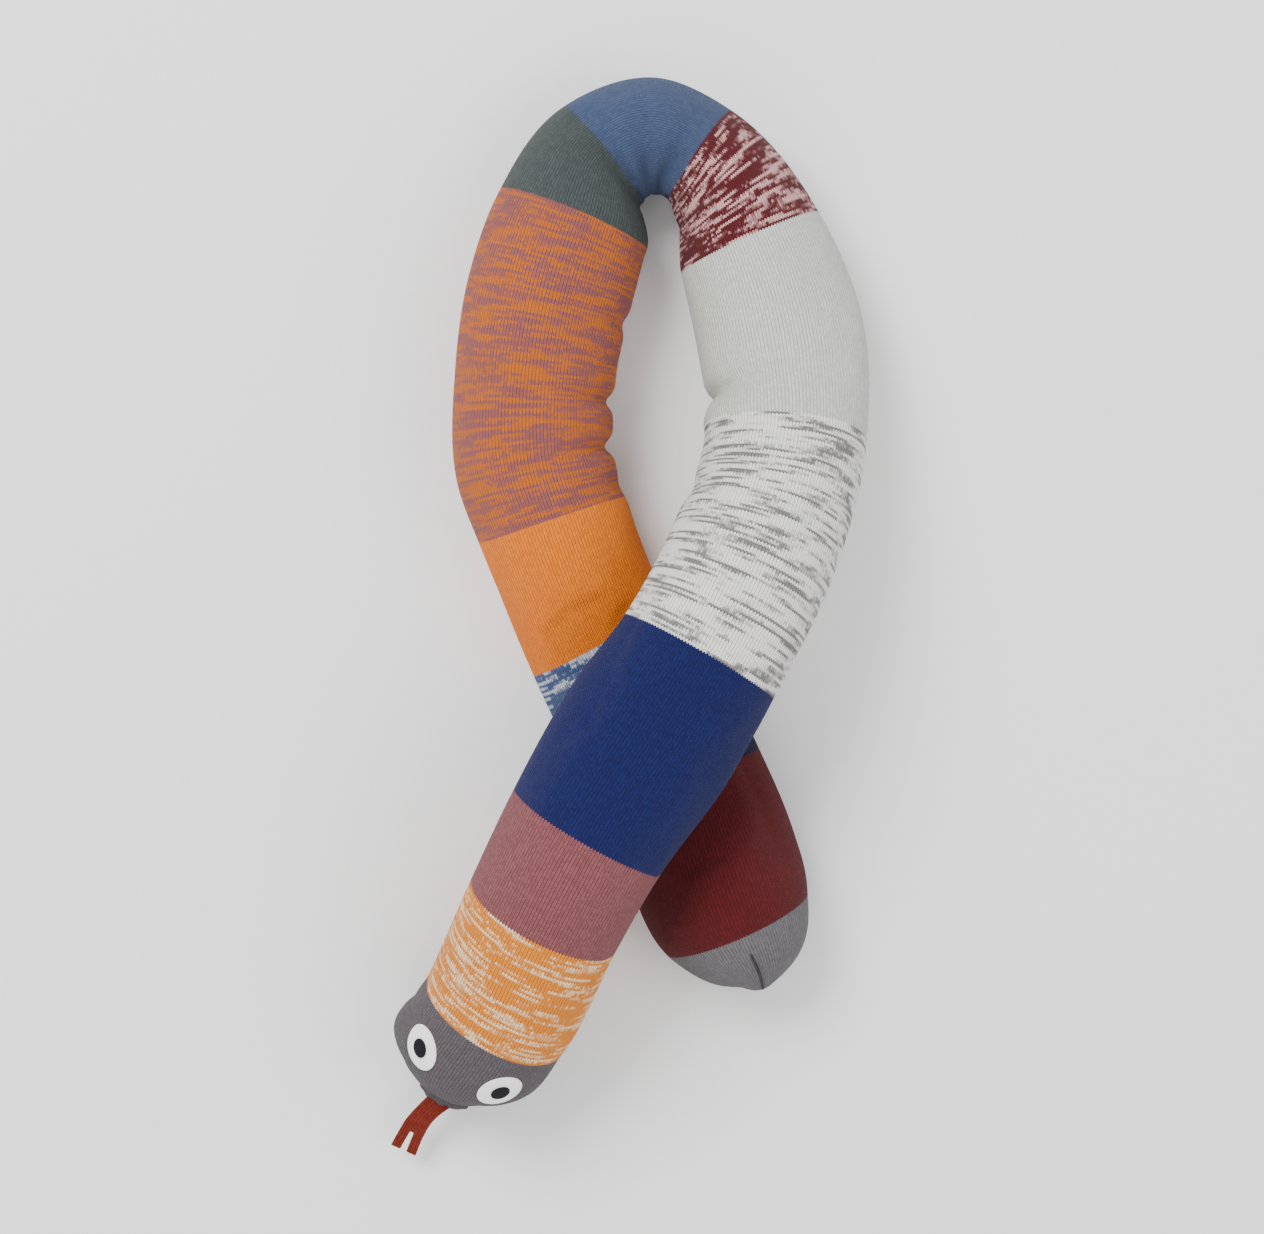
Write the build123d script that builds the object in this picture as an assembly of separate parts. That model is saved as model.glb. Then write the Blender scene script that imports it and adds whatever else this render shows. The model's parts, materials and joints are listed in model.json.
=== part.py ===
"""Stuffed knitted snake, lying on the floor in a loop with its neck across its back.

The cover is one knitted tube whose yarn changes colour from band to band. It is filled with
loose fibre, closed by a seam at the nose and another at the tail, and has felt eyes and a
forked tongue. Lengths are in millimetres, +Z is up, and the floor is Z = 0.
"""

from build123d import *

import json
import os
from collections import namedtuple
from math import cos, radians, sin, tan

# ---------------------------------------------------------------- driving sizes

body_width = 140.0  # across the stuffed tube where it lies on the floor
body_height = 110.0  # from the floor to its back
floor_sink = 0.09  # share of the half height that the weight presses flat
pressed_height = 74.0  # of the back where the neck lies on it
crossing_gap = 3.0  # between the back and the neck above it
cover_thickness = 2.0  # of the knitted fabric

eye_length = 39.0
eye_width = 28.0
eye_back = 0.46  # share of the way from the brow to the next station
eye_round = 33.0  # degrees round the head from its top to an eye's centre
eye_toe_in = 47.0  # degrees that each eye's long axis turns inwards from the nose's direction
eye_sag = 25.0  # more than the depth that the head curves away under an eye
pupil_share = 0.42  # of the eye's length and width
felt_thickness = 1.5

tongue_length = 54.0  # in front of the seam
tongue_width = 18.0
tongue_thickness = 2.4
tongue_roll = 4.0  # diameter of the rolled root that the seam holds
tongue_gap = 0.3  # between the rolled root and the seam
tongue_corner = 3.0  # radius
tongue_droop = 14.0  # degrees below level
tongue_skew = 14.0  # degrees between the tongue and the head's own line
fork_depth = 18.0
fork_width = 5.0

seam_width = 2.2  # of a sewn ridge
seam_height = 1.4  # that it stands above the knit
nose_seam_length = 7.0  # along the head
nose_seam_width = 44.0
nose_seam_height = 14.0

knuckle_gap = 0.8  # between the two fillings that meet at a bend
lip_spare = 3.0  # more than what a full bend closes

turn_limit = {"head_turn": 20.0, "back_bend": 4.0, "tail_turn": 30.0}
lift_limit = {"head_lift": 30.0, "neck_lift": 35.0}

# ------------------------------------------------------- the line that it lies in

def pressed(free, share):
    """A height where the neck's weight presses down a free height by a share of the whole way."""
    return free * (1 - share) + share * pressed_height / body_height


# Places are in body widths from the middle of the loop, because a stuffed tube lies in bends
# that grow with its thickness. Width and height are shares of the body's. Lift is 1 where the
# neck lies on the back and 0 on the floor.
Station = namedtuple("Station", "name x y width height lift")
stations = [
    Station("nose", -1.111, -2.846, 0.28, 0.12, 0.36),
    Station("muzzle", -1.078, -2.780, 0.52, 0.52, 0.15),
    Station("brow", -1.020, -2.655, 0.83, 0.88, 0.03),
    Station("head_end", -0.795, -2.325, 0.95, 0.98, 0.30),
    Station("amber_cream_end", -0.505, -1.720, 0.98, 1.00, 0.74),
    Station("mauve_end", -0.255, -1.240, 1.02, 0.93, 1.02),
    Station("neck_crossing", 0.113, -0.664, 1.10, 0.87, 1.00),
    Station("royal_blue_end", 0.391, -0.225, 1.02, 0.89, 1.03),
    Station("white_grey_middle", 0.717, 0.427, 1.00, 0.98, 0.66),
    Station("white_grey_end", 0.907, 1.073, 0.96, 1.03, 0.20),
    Station("pale_grey_middle", 0.884, 1.631, 1.01, 1.03, 0.00),
    Station("pale_grey_end", 0.706, 2.202, 0.91, 1.01, 0.00),
    Station("burgundy_cream_end", 0.414, 2.725, 0.66, 0.96, 0.00),
    Station("loop_top", 0.124, 2.850, 0.68, 0.92, 0.00),
    Station("steel_blue_end", -0.171, 2.730, 0.74, 0.96, 0.00),
    Station("slate_green_end", -0.338, 2.348, 0.95, 1.02, 0.00),
    Station("amber_mauve_top", -0.466, 1.939, 1.00, 1.03, 0.00),
    Station("amber_mauve_middle", -0.560, 1.400, 0.97, 1.03, 0.00),
    Station("amber_mauve_low", -0.554, 0.871, 0.97, 1.03, 0.00),
    Station("amber_mauve_end", -0.462, 0.581, 0.95, 1.00, 0.00),
    Station("amber_end", -0.178, -0.131, 0.96, pressed(1.03, 0.70), 0.00),
    Station("pale_blue_end", 0.050, -0.529, 1.04, pressed(1.03, 0.95), 0.00),
    Station("back_crossing", 0.124, -0.646, 1.06, pressed(1.03, 1.00), 0.00),
    Station("navy_end", 0.338, -1.002, 1.00, pressed(1.03, 0.87), 0.00),
    Station("burgundy_middle", 0.482, -1.438, 1.07, pressed(1.00, 0.49), 0.00),
    Station("burgundy_end", 0.634, -1.832, 0.95, 0.94, 0.00),
    Station("tail_round", 0.717, -2.003, 0.73, 0.76, 0.06),
    Station("tail_point", 0.790, -2.230, 0.20, 0.16, 0.28),
]
number_of = {station.name: i for i, station in enumerate(stations)}

# Each band of colour runs from one station to another.
bands = {
    "grey_head_band": ("nose", "head_end"),
    "amber_cream_band": ("head_end", "amber_cream_end"),
    "mauve_band": ("amber_cream_end", "mauve_end"),
    "royal_blue_band": ("mauve_end", "royal_blue_end"),
    "white_grey_band": ("royal_blue_end", "white_grey_end"),
    "pale_grey_band": ("white_grey_end", "pale_grey_end"),
    "burgundy_cream_band": ("pale_grey_end", "burgundy_cream_end"),
    "steel_blue_band": ("burgundy_cream_end", "steel_blue_end"),
    "slate_green_band": ("steel_blue_end", "slate_green_end"),
    "amber_mauve_band": ("slate_green_end", "amber_mauve_end"),
    "amber_band": ("amber_mauve_end", "amber_end"),
    "pale_blue_band": ("amber_end", "pale_blue_end"),
    "navy_band": ("pale_blue_end", "navy_end"),
    "burgundy_band": ("navy_end", "burgundy_end"),
    "grey_tail_band": ("burgundy_end", "tail_point"),
}

# Each joint bends the cover in the middle of one band.
joint_band = {
    "head_turn": "amber_cream_band",
    "head_lift": "mauve_band",
    "neck_lift": "pale_grey_band",
    "back_bend": "amber_mauve_band",
    "tail_turn": "burgundy_band",
}

# The fillings, and the bands that each runs through, from the nose to the tail.
fillings = {
    "head_filling": ["grey_head_band", "amber_cream_band"],
    "nape_filling": ["amber_cream_band", "mauve_band"],
    "neck_filling": ["mauve_band", "royal_blue_band", "white_grey_band", "pale_grey_band"],
    "loop_filling": [
        "pale_grey_band",
        "burgundy_cream_band",
        "steel_blue_band",
        "slate_green_band",
        "amber_mauve_band",
    ],
    "back_filling": ["amber_mauve_band", "amber_band", "pale_blue_band", "navy_band", "burgundy_band"],
    "tail_filling": ["burgundy_band", "grey_tail_band"],
}


def placed(station):
    """A station's centre, half width and half height."""
    half_width = station.width * body_width / 2
    half_height = station.height * body_height / (2 - floor_sink)
    neck_half_height = stations[number_of["neck_crossing"]].height * body_height / (2 - floor_sink)
    rise = pressed_height + crossing_gap + floor_sink * neck_half_height
    height = half_height * (1 - floor_sink) + station.lift * rise
    return Vector(station.x * body_width, station.y * body_width, height), half_width, half_height


spots = [placed(station) for station in stations]


def chord(i):
    """The straight distance from one station to the next."""
    return (spots[i + 1][0] - spots[i][0]).length


def slope(values, i):
    """How fast a value changes at a station, from its neighbours on both sides."""
    if i == 0:
        return (values[1] - values[0]) / chord(0)
    if i == len(values) - 1:
        return (values[i] - values[i - 1]) / chord(i - 1)
    before = (values[i] - values[i - 1]) / chord(i - 1)
    after = (values[i + 1] - values[i]) / chord(i)
    return (before * chord(i) + after * chord(i - 1)) / (chord(i) + chord(i - 1))


def between(values, where):
    """A value on the smooth curve through the stations; 3.5 is half way from 3 to 4."""
    i = min(int(where), len(values) - 2)
    f = where - i
    rise_in, rise_out = slope(values, i) * chord(i), slope(values, i + 1) * chord(i)
    return (
        values[i] * (2 * f**3 - 3 * f**2 + 1)
        + rise_in * (f**3 - 2 * f**2 + f)
        + values[i + 1] * (3 * f**2 - 2 * f**3)
        + rise_out * (f**3 - f**2)
    )


centres = [spot[0] for spot in spots]
half_widths = [spot[1] for spot in spots]
half_heights = [spot[2] for spot in spots]
ways = [slope(centres, i).normalized() for i in range(len(stations))]


def plane_at(where):
    """The plane across the tube: its X is level, to the left of the way to the tail."""
    i = min(int(where), len(stations) - 2)
    ahead = ways[i] * (i + 1 - where) + ways[i + 1] * (where - i)
    return Plane(origin=between(centres, where), x_dir=(-ahead.Y, ahead.X, 0), z_dir=ahead)


def ring(where, grow):
    """The tube's outline at a place, larger all round by grow."""
    size = between(half_widths, where) + grow, between(half_heights, where) + grow
    return plane_at(where) * Ellipse(*size)


half_space = 6 * body_width


def above(solid, height):
    """The part of a solid above a height."""
    return solid - Pos(0, 0, height - half_space) * Box(
        3 * half_space, 3 * half_space, 2 * half_space
    )


def tube(band, grow=0.0):
    """A band's solid, larger all round by grow, resting on the floor or that far off it."""
    first, last = (number_of[name] for name in bands[band])
    spans = 2 * (last - first)
    rings = [ring(first + i / 2, grow) for i in range(spans + 1)]
    return above(loft(rings), max(0.0, -grow))


def middle_of(band):
    """Half way along a band."""
    first, last = (number_of[name] for name in bands[band])
    return (first + last) / 2


def rim_points(where):
    """The leftmost, rightmost, highest and lowest points of the tube's outline at a place."""
    across = plane_at(where)
    left, up = across.x_dir * between(half_widths, where), across.y_dir * between(half_heights, where)
    return [across.origin + offset for offset in (left, left * -1, up, up * -1)]


Bend = namedtuple("Bend", "origin axis ahead radius lip")


def bend_of(joint):
    """A joint's place and axis, the round of filling that turns in it, and the gap it needs."""
    band = joint_band[joint]
    where = middle_of(band)
    across = plane_at(where)
    if joint in turn_limit:
        axis = Vector(0, 0, 1)
        ahead = Vector(across.z_dir.X, across.z_dir.Y, 0).normalized()
        reach = between(half_widths, where) - cover_thickness
        limit = turn_limit[joint]
    else:
        axis = across.x_dir
        ahead = across.z_dir
        reach = between(half_heights, where) - cover_thickness
        limit = lift_limit[joint]
    rim = [point for name in bands[band] for point in rim_points(number_of[name])]
    to_end = min(abs((point - across.origin).dot(ahead)) for point in rim)
    lip = reach * tan(radians(limit / 2)) + lip_spare
    return Bend(across.origin, axis, ahead, min(reach, to_end - lip_spare), lip)


def side_of(plane, size=half_space):
    """Everything on the side of a plane that its Z points to."""
    return plane * Box(size, size, size, align=(Align.CENTER, Align.CENTER, Align.MIN))


def past(bend, distance):
    """Everything further on than a distance past the joint."""
    return side_of(Plane(bend.origin + bend.ahead * distance, x_dir=bend.axis, z_dir=bend.ahead))


def round_of(bend, grow):
    """A cylinder on the joint's axis."""
    return Plane(origin=bend.origin, z_dir=bend.axis) * Cylinder(bend.radius + grow, half_space)


def part_before(inside, bend):
    """The filling before the joint, which ends in the round that turns."""
    return (inside - past(bend, -bend.lip)) + (inside & round_of(bend, 0))


def part_after(inside, bend):
    """The filling after the joint, hollowed for the round and cut back for the bend."""
    return (inside & past(bend, bend.lip)) - round_of(bend, knuckle_gap)


def one_solid(shape):
    """The largest solid of a shape, without crumbs of a cut."""
    return max(shape.solids(), key=lambda solid: solid.volume)


# ------------------------------------------------------------------- cover and filling

outsides = {band: tube(band) for band in bands}
insides = {band: tube(band, -cover_thickness) for band in bands}

# The knit closes over the filling at the nose and at the tail.
nose = plane_at(0)
tail_end = plane_at(len(stations) - 1)
hollow_places = [cover_thickness / chord(0)] + [1 + i / 2 for i in range(5)]
hollow_rings = [ring(where, -cover_thickness) for where in hollow_places]
insides["grey_head_band"] = above(loft(hollow_rings), cover_thickness)
insides["grey_tail_band"] -= side_of(tail_end.offset(-cover_thickness))
parts = {band: one_solid(outsides[band] - insides[band]) for band in bands}

joint_of_band = {band: joint for joint, band in joint_band.items()}
for name, route in fillings.items():
    pieces = []
    for band in route:
        inside = insides[band]
        if band in joint_of_band:
            bend = bend_of(joint_of_band[band])
            inside = part_after(inside, bend) if band == route[0] else part_before(inside, bend)
        pieces.append(one_solid(inside))
    parts[name] = one_solid(pieces[0].fuse(*pieces[1:]))

# ------------------------------------------------------------------------------ eyes

eye_place = number_of["brow"] + eye_back
eye_ring = plane_at(eye_place)
half_across, half_up = between(half_widths, eye_place), between(half_heights, eye_place)


def eye_plane(side):
    """The plane of an eye, square to the head there, with its long axis turned to the nose."""
    across, up = sin(radians(eye_round)) * side, cos(radians(eye_round))
    spot = eye_ring.x_dir * (half_across * across) + eye_ring.y_dir * (half_up * up)
    facing = eye_ring.x_dir * (across / half_across) + eye_ring.y_dir * (up / half_up)
    to_nose = (eye_ring.z_dir * -1).rotate(Axis((0, 0, 0), tuple(facing)), side * eye_toe_in)
    return Plane(origin=eye_ring.origin + spot, x_dir=to_nose, z_dir=facing)


def felt_oval(side, share, under, top):
    """An oval of felt that lies on the head, between two sizes of the head."""
    oval = eye_plane(side) * Ellipse(share * eye_length / 2, share * eye_width / 2)
    prism = extrude(oval, eye_sag, both=True)
    return one_solid((prism & tube("grey_head_band", top)) - tube("grey_head_band", under))


# Along the line to the tail, the head's own left eye lies on the right.
for side, word in ((-1, "left"), (1, "right")):
    parts[f"{word}_eye_white"] = felt_oval(side, 1.0, 0.0, felt_thickness)
    parts[f"{word}_pupil"] = felt_oval(side, pupil_share, felt_thickness, 2 * felt_thickness)

# --------------------------------------------------------------- nose seam and tongue

nose_out = nose.z_dir * -1
nose_side = nose.x_dir
seam_plane = Plane(origin=nose.origin, x_dir=nose_side, z_dir=nose_out)
seam_round = nose_seam_height / 2.1
seam_outline = RectangleRounded(nose_seam_width, nose_seam_height, seam_round)
seam_blank = extrude(seam_plane * seam_outline, nose_seam_length)

tongue_root = nose.origin + nose_out * nose_seam_length
level = Vector(nose_out.X, nose_out.Y, 0).normalized()
tongue_way = level.rotate(Axis((0, 0, 0), tuple(nose_side)), -tongue_droop)
tongue_plane = Plane(origin=tongue_root, x_dir=tongue_way, z_dir=tongue_way.cross(nose_side))
root_width = tongue_width / cos(radians(tongue_skew))


def root_roll(grow):
    """The rolled edge along the tongue's root."""
    size = tongue_roll / 2 + grow, root_width + 2 * grow
    return Plane(origin=tongue_root, z_dir=nose_side) * Cylinder(*size)


blank = Pos(tongue_length / 2 - tongue_width / 2, 0) * RectangleRounded(
    tongue_length + tongue_width, tongue_width, tongue_corner
)
notch = Pos(tongue_length + fork_width - fork_depth / 2, 0) * SlotOverall(
    fork_depth + 2 * fork_width, fork_width
)
outline = Rot(0, 0, tongue_skew) * (blank - notch)
tongue_slab = extrude(tongue_plane * outline, tongue_thickness / 2, both=True)
in_front = side_of(Plane(origin=tongue_root, x_dir=nose_side, z_dir=tongue_way))
parts["tongue"] = one_solid((tongue_slab & in_front) + root_roll(0))
parts["nose_seam"] = one_solid(seam_blank - root_roll(tongue_gap))

# -------------------------------------------------------------------------- tail seam

# A ridge over the end of the tail, in the upright plane along its line.
tail_round = plane_at(number_of["tail_round"])
ridge_plane = Plane(origin=tail_round.origin, x_dir=tail_round.x_dir, z_dir=(0, 0, 1))
ridge_slice = side_of(ridge_plane) & (ridge_plane * Box(seam_width, half_space, half_space))
tail_end_half = side_of(plane_at((number_of["burgundy_end"] + number_of["tail_round"]) / 2))
ridge = ridge_slice & tail_end_half & tube("grey_tail_band", seam_height)
parts["tail_seam"] = one_solid(ridge - outsides["grey_tail_band"])

# ------------------------------------------------------------------ frame and export

box = Compound(list(parts.values())).bounding_box()
to_frame = Pos(-box.center().X, -box.center().Y, 0)

os.makedirs("parts", exist_ok=True)
for name, solid in parts.items():
    export_step(to_frame * solid, f"parts/{name}.step")


def rounded(vector):
    """A vector as a list of rounded numbers."""
    return [round(value, 5) for value in vector]


def in_metres(point):
    """A point of the model, in metres from the finished part's origin."""
    return rounded((point - Vector(box.center().X, box.center().Y, 0)) / 1000)


bends = {joint: bend_of(joint) for joint in joint_band}
places = {
    "joints": {joint: [in_metres(bend.origin), rounded(bend.axis)] for joint, bend in bends.items()},
    "tongue_root": [in_metres(tongue_root), rounded(nose_side)],
    "size": rounded(box.size),
}
print(json.dumps(places))
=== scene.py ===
# %% [markdown]
# # A stuffed knitted snake
# The toy is one knitted tube whose yarn changes colour from band to band. It is stuffed with
# loose fibre, sewn shut at both ends, and given felt eyes and a forked tongue. It lies in a loop,
# with its neck across its own back. This lesson knits the tube as a grid, lays it along the toy's
# line, lets a cloth simulation stuff it, and cuts it into its bands of colour.

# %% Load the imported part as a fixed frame
import json
import math

import bpy
import numpy as np
from mathutils import Matrix, Quaternion, Vector
from mathutils.bvhtree import BVHTree


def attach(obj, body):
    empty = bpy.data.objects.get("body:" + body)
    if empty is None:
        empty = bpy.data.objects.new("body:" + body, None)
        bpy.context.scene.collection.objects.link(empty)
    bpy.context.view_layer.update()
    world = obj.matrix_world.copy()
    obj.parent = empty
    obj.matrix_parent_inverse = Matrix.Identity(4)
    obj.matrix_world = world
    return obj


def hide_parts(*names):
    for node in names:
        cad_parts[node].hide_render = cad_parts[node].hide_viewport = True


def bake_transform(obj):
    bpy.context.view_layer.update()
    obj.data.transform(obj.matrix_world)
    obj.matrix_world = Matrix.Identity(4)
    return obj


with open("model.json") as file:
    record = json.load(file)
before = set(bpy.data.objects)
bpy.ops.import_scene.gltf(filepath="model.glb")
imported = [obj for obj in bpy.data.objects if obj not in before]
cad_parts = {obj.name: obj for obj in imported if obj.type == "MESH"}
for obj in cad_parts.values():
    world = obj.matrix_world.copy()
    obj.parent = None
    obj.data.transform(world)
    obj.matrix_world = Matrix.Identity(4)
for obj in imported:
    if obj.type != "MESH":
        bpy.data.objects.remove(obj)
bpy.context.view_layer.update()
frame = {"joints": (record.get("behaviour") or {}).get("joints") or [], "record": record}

joints = {joint["name"]: joint for joint in frame["joints"]}

# %% [markdown]
# ## The line that the toy lies along
# A stuffed tube is easiest to shape along a line. The line goes from the nose to the tail through
# a few stations. Each station has a place, the tube's width and height there, and how much the
# tube is lifted by its own back underneath. These are the same stations as in the CAD part, in
# the same units: places in body widths, widths and heights in shares of the body's own.

# %% The stations, from the nose to the tail
body_width = 0.140
body_height = 0.110
floor_sink = 0.09
pressed_height = 0.074
crossing_gap = 0.003

# Name, place in x and y, width, height, lift.
stations = [
    ("nose", -1.111, -2.846, 0.28, 0.12, 0.36),
    ("muzzle", -1.078, -2.780, 0.52, 0.52, 0.15),
    ("brow", -1.020, -2.655, 0.83, 0.88, 0.03),
    ("head_end", -0.795, -2.325, 0.95, 0.98, 0.30),
    ("amber_cream_end", -0.505, -1.720, 0.98, 1.00, 0.74),
    ("mauve_end", -0.255, -1.240, 1.02, 0.93, 1.02),
    ("neck_crossing", 0.113, -0.664, 1.10, 0.87, 1.00),
    ("royal_blue_end", 0.391, -0.225, 1.02, 0.89, 1.03),
    ("white_grey_middle", 0.717, 0.427, 1.00, 0.98, 0.66),
    ("white_grey_end", 0.907, 1.073, 0.96, 1.03, 0.20),
    ("pale_grey_middle", 0.884, 1.631, 1.01, 1.03, 0.00),
    ("pale_grey_end", 0.706, 2.202, 0.91, 1.01, 0.00),
    ("burgundy_cream_end", 0.414, 2.725, 0.66, 0.96, 0.00),
    ("loop_top", 0.124, 2.850, 0.68, 0.92, 0.00),
    ("steel_blue_end", -0.171, 2.730, 0.74, 0.96, 0.00),
    ("slate_green_end", -0.338, 2.348, 0.95, 1.02, 0.00),
    ("amber_mauve_top", -0.466, 1.939, 1.00, 1.03, 0.00),
    ("amber_mauve_middle", -0.560, 1.400, 0.97, 1.03, 0.00),
    ("amber_mauve_low", -0.554, 0.871, 0.97, 1.03, 0.00),
    ("amber_mauve_end", -0.462, 0.581, 0.95, 1.00, 0.00),
    ("amber_end", -0.178, -0.131, 0.96, 0.78, 0.00),
    ("pale_blue_end", 0.050, -0.529, 1.04, 0.69, 0.00),
    ("back_crossing", 0.124, -0.646, 1.06, pressed_height / body_height, 0.00),
    ("navy_end", 0.338, -1.002, 1.00, 0.72, 0.00),
    ("burgundy_middle", 0.482, -1.438, 1.07, 0.84, 0.00),
    ("burgundy_end", 0.634, -1.832, 0.95, 0.94, 0.00),
    ("tail_round", 0.717, -2.003, 0.73, 0.76, 0.06),
    ("tail_point", 0.790, -2.230, 0.20, 0.16, 0.28),
]
number_of = {station[0]: i for i, station in enumerate(stations)}
last_station = len(stations) - 1

# The CAD part's origin is the middle of its footprint, so the line moves there with it. The
# neck's joint is at the station in the middle of the pale grey band.
middle = stations[number_of["pale_grey_middle"]]
neck_joint = Vector(joints["neck_lift"]["pos_m"])
shift_x = neck_joint.x - middle[1] * body_width
shift_y = neck_joint.y - middle[2] * body_width

full_height = body_height / (2 - floor_sink)
neck_share = stations[number_of["neck_crossing"]][4]
neck_rise = pressed_height + crossing_gap + floor_sink * neck_share * full_height
places, half_widths, half_heights = [], [], []
for name, x, y, width, height, lift in stations:
    half_height = height * full_height
    z = half_height * (1 - floor_sink) + lift * neck_rise
    places.append((x * body_width + shift_x, y * body_width + shift_y, z))
    half_widths.append(width * body_width / 2)
    half_heights.append(half_height)
places, half_widths, half_heights = map(np.array, (places, half_widths, half_heights))
print(len(stations), "stations; the line moved by", round(shift_x, 4), round(shift_y, 4))

# %% [markdown]
# The stations are joined by a smooth curve. At each station the curve's slope comes from the
# stations on both sides, and between two stations it is a cubic, so the tube has no corners.

# %% A smooth curve through the stations
chords = np.linalg.norm(np.diff(places, axis=0), axis=1)


def slopes_of(values):
    """How fast a value changes at each station."""
    steps = np.diff(values, axis=0) / (chords if values.ndim == 1 else chords[:, None])
    slopes = np.empty_like(values)
    slopes[0], slopes[-1] = steps[0], steps[-1]
    for i in range(1, len(values) - 1):
        before, after = chords[i - 1], chords[i]
        slopes[i] = (steps[i - 1] * after + steps[i] * before) / (before + after)
    return slopes


def along(values, where):
    """A value on the smooth curve; 3.5 is half way from station 3 to station 4."""
    where = np.asarray(where, float)
    i = np.clip(where.astype(int), 0, last_station - 1)
    f, length = where - i, chords[i]
    if values.ndim > 1:
        f, length = f[..., None], length[..., None]
    slopes = slopes_of(values)
    return (
        values[i] * (2 * f**3 - 3 * f**2 + 1)
        + slopes[i] * length * (f**3 - 2 * f**2 + f)
        + values[i + 1] * (3 * f**2 - 2 * f**3)
        + slopes[i + 1] * length * (f**3 - f**2)
    )


ways = slopes_of(places)
ways /= np.linalg.norm(ways, axis=1)[:, None]


def axes_at(where):
    """The tube's level and upward directions across its line, and the way to the tail."""
    i = np.clip(np.asarray(where).astype(int), 0, last_station - 1)
    f = (where - i)[..., None]
    way = ways[i] * (1 - f) + ways[i + 1] * f
    way /= np.linalg.norm(way, axis=-1)[..., None]
    level = np.stack([-way[..., 1], way[..., 0], np.zeros(len(way))], -1)
    level /= np.linalg.norm(level, axis=-1)[..., None]
    return level, np.cross(way, level), way


fine_where = np.linspace(0, last_station, 4000)
fine_places = along(places, fine_where)
fine_steps = np.linalg.norm(np.diff(fine_places, axis=0), axis=1)
fine_length = np.concatenate([[0], np.cumsum(fine_steps)])
tube_length = fine_length[-1]
print("the tube's line is", round(tube_length, 3), "m long")

# %% [markdown]
# ## The bands of colour
# Each band runs from one station to another. Rows of the grid fall on the ends of the bands, so
# that the tube can be cut there afterwards without a ragged edge.

# %% The bands and the rows of the grid
bands = [
    ("grey_head", "nose", "head_end"),
    ("amber_cream", "head_end", "amber_cream_end"),
    ("mauve", "amber_cream_end", "mauve_end"),
    ("royal_blue", "mauve_end", "royal_blue_end"),
    ("white_grey", "royal_blue_end", "white_grey_end"),
    ("pale_grey", "white_grey_end", "pale_grey_end"),
    ("burgundy_cream", "pale_grey_end", "burgundy_cream_end"),
    ("steel_blue", "burgundy_cream_end", "steel_blue_end"),
    ("slate_green", "steel_blue_end", "slate_green_end"),
    ("amber_mauve", "slate_green_end", "amber_mauve_end"),
    ("amber", "amber_mauve_end", "amber_end"),
    ("pale_blue", "amber_end", "pale_blue_end"),
    ("navy", "pale_blue_end", "navy_end"),
    ("burgundy", "navy_end", "burgundy_end"),
    ("grey_tail", "burgundy_end", "tail_point"),
]
row_spacing = 0.0052
rows, first_row = [0.0], {}
for band, start, end in bands:
    begin, finish = np.interp([number_of[start], number_of[end]], fine_where, fine_length)
    count = max(3, round((finish - begin) / row_spacing))
    first_row[band] = len(rows) - 1
    rows += [begin + (finish - begin) * (k + 1) / count for k in range(count)]
row_length = np.array(rows)
row_where = np.interp(row_length, fine_length, fine_where)
last_row = {band: first_row[bands[i + 1][0]] for i, (band, *_) in enumerate(bands[:-1])}
last_row["grey_tail"] = len(rows) - 1
print(len(rows), "rows of mesh along the tube")

# %% [markdown]
# ## Dents and bumps
# A stuffed tube is never even. It creases deeply on the inside of the tight fold at the top of
# the loop, it puckers where it is sewn shut, and the fibre makes lumps. Each entry below is a
# place along the line, an angle round the tube (0 is the inner side of the loop and 90 the top),
# a depth in millimetres (negative is a bump), how far it reaches along the tube in millimetres
# and round it in degrees, and how far it slants.

# %% The folds, puckers and lumps
# Station, angle, depth, reach, spread, slant in millimetres for each 45 degrees.
dents = [
    (11.80, 0, -2.5, 9.0, 40, 0),
    (12.35, 60, 6.0, 5.5, 24, -2),
    (12.62, 42, 4.0, 6.0, 22, -4),
    (13.15, 50, 3.0, 6.0, 20, 0),
    (13.66, 60, -3.5, 9.0, 28, 0),
    (14.04, 60, 10.0, 6.5, 32, -2),
    (14.60, 0, -3.0, 14.0, 40, 0),
    (9.40, 5, 9.0, 5.0, 52, 5),
    (9.08, 25, -3.0, 6.0, 40, 3),
    (17.22, 0, 6.5, 5.5, 40, 0),
    (17.86, 0, 7.5, 5.5, 42, 2),
    (16.20, 0, 3.5, 6.0, 36, 0),
    (18.70, 0, 3.0, 8.0, 36, 0),
    (8.30, 0, 3.0, 9.0, 34, 0),
    (12.9, 90, -3.0, 16.0, 60, 0),
    (2.55, 2, 3.0, 4.0, 24, 0),
    (2.15, 0, -2.5, 6.0, 24, 0),
    (1.75, 2, 4.0, 3.2, 24, 0),
    (1.35, 0, -3.0, 4.0, 24, 0),
    (0.85, 15, 5.0, 5.0, 26, 0),
    (1.45, 180, 7.0, 12.0, 34, 0),
    (0.90, 160, 3.5, 4.0, 24, 0),
    (0.55, 170, -3.0, 4.0, 24, 0),
    (26.2, 90, 2.5, 14.0, 9, 0),
    (26.7, 30, 2.5, 6.0, 24, 0),
    (26.6, 150, 2.5, 6.0, 24, 0),
]


def dent_depth(where, length, angle):
    """How deep the dents press a place of the tube, in metres."""
    depth = np.zeros(np.broadcast(length, angle).shape)
    for place, round_it, deep, reach, spread, slant in dents:
        centre = np.interp(place, fine_where, fine_length)
        turn = (angle - round_it + 180) % 360 - 180
        across = (length - centre - slant * 0.001 * turn / 45) / (reach * 0.001)
        depth += deep * 0.001 * np.exp(-(across**2) / 2 - (turn / spread) ** 2 / 2)
    return depth


print(len(dents), "dents and bumps")

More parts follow.
